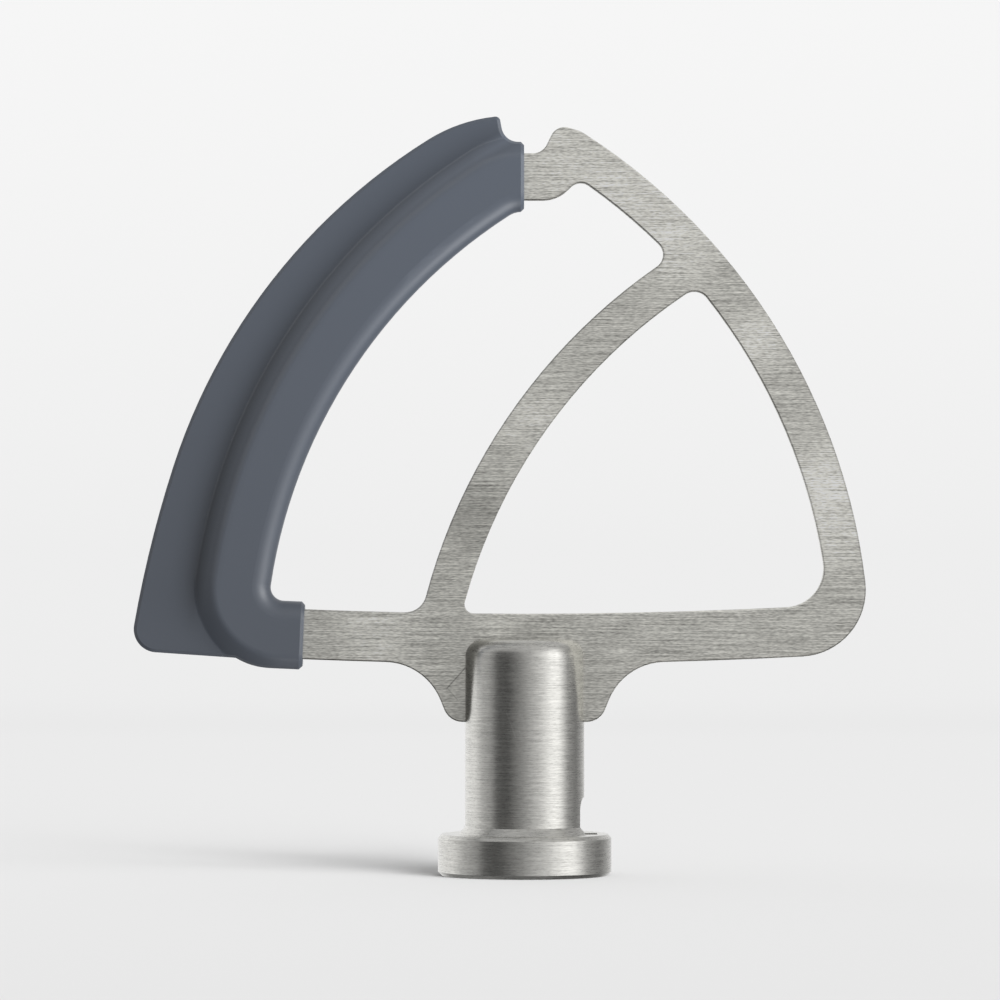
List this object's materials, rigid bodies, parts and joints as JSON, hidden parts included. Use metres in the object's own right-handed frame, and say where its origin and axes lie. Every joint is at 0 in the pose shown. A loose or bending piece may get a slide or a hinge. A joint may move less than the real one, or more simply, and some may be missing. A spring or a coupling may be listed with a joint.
{
  "type": "stand mixer flat beater",
  "caption": "Flat beater for a stand mixer: an open sheet frame on a turned hub with a bayonet bore, and a moulded silicone wiping edge along one arm.",
  "frame": {"origin": "centre of the mouth of the shaft bore, in the flat face of the hub collar that the beater stands on", "axes": "+Z along the bore, from the collar up through the frame; +X from the hub axis towards the bare arm, in the plane of the frame; Y across the sheet"},
  "size_m": [0.135, 0.032, 0.1399],
  "materials": {
    "frame_steel": "fine brushing along the width of the frame",
    "hub_steel": "turned, with fine brushing round the hub",
    "silicone": "smooth satin, blue grey"
  },
  "bodies": {
    "root": {"beater_frame": "frame_steel", "hub": "hub_steel", "flex_edge": "silicone"}
  },
  "joints": []
}
